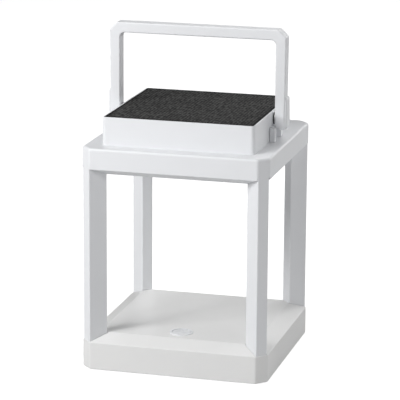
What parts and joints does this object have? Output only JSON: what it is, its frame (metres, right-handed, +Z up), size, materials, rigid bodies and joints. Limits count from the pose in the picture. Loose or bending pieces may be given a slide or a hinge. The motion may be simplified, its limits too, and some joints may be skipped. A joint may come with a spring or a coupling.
{
  "type": "solar insect lantern",
  "caption": "Square open-frame lantern: plinth and cap on corner posts, solar module on top, a push button and a carrying handle that folds flat round the module.",
  "frame": {"origin": "middle of the square footprint, on the ground under the rubber feet", "axes": "+Z up, -Y towards the side with the push button, +X to the right seen from the front"},
  "size_m": [0.148, 0.148, 0.2624],
  "materials": {
    "housing_plastic": "fine satin moulded plastic, white with a slight cool tint",
    "foot_rubber": "matte grey rubber",
    "plated_steel": "zinc-plated",
    "brass": "turned",
    "bearing_plastic": "natural acetal",
    "battery_wrap": "plain shrink sleeve",
    "black_plastic": "moulded",
    "circuit_board": "solder mask",
    "white_circuit_board": "white solder mask",
    "led_lens": "phosphor under clear resin",
    "frosted_diffuser": "frosted, light passes through",
    "foam_tape": "closed-cell foam",
    "solar_cell": "dark silicon with fine grid lines",
    "panel_cover": "fine textured dark laminate",
    "cable_jacket": "flexible jacket"
  },
  "bodies": {
    "lantern": {"plinth_shell": "housing_plastic", "bottom_plate": "housing_plastic", "post_rear_right": "housing_plastic", "post_rear_left": "housing_plastic", "post_front_left": "housing_plastic", "post_front_right": "housing_plastic", "cap_shell": "housing_plastic", "cap_tray": "housing_plastic", "module_housing": "housing_plastic", "button_bezel": "housing_plastic", "rubber_feet": "foot_rubber", "bottom_plate_screws": "plated_steel", "control_board_screws": "plated_steel", "tie_rods": "plated_steel", "cap_tray_screws": "plated_steel", "led_board_screws": "plated_steel", "module_screws": "plated_steel", "pivot_screw_left": "plated_steel", "pivot_screw_right": "plated_steel", "cup_washer_left": "plated_steel", "cup_washer_right": "plated_steel", "button_spring": "plated_steel", "battery_contacts": "plated_steel", "tie_rod_inserts": "brass", "pivot_insert_left": "brass", "pivot_insert_right": "brass", "led_connector": "bearing_plastic", "battery_cells": "battery_wrap", "battery_holder": "black_plastic", "switch_body": "black_plastic", "control_board_parts": "black_plastic", "friction_washer_left": "black_plastic", "friction_washer_right": "black_plastic", "control_board": "circuit_board", "panel_board": "circuit_board", "led_board": "white_circuit_board", "leds": "led_lens", "diffuser": "frosted_diffuser", "panel_tape": "foam_tape", "solar_cells": "solar_cell", "panel_cover": "panel_cover", "lamp_cable": "cable_jacket", "panel_cable": "cable_jacket", "battery_cable": "cable_jacket"},
    "handle": {"handle": "housing_plastic", "pivot_bushing_left": "bearing_plastic", "pivot_bushing_right": "bearing_plastic", "pivot_cover_left": "housing_plastic", "pivot_cover_right": "housing_plastic"},
    "button": {"push_button": "housing_plastic", "button_clip": "plated_steel", "switch_plunger": "bearing_plastic"}
  },
  "joints": [
    {"name": "handle_fold", "type": "hinge", "parent": "lantern", "child": "handle", "pos_m": [0, 0, 0.1928], "axis": [1, 0, 0], "range_deg": [-90, 90]},
    {"name": "button_press", "type": "slide", "parent": "lantern", "child": "button", "axis": [0, 0, -1], "range_m": [0, 0.0012], "stiffness_N_per_m": 1200, "springref_m": -0.0005, "deforming": ["button_spring"]}
  ]
}
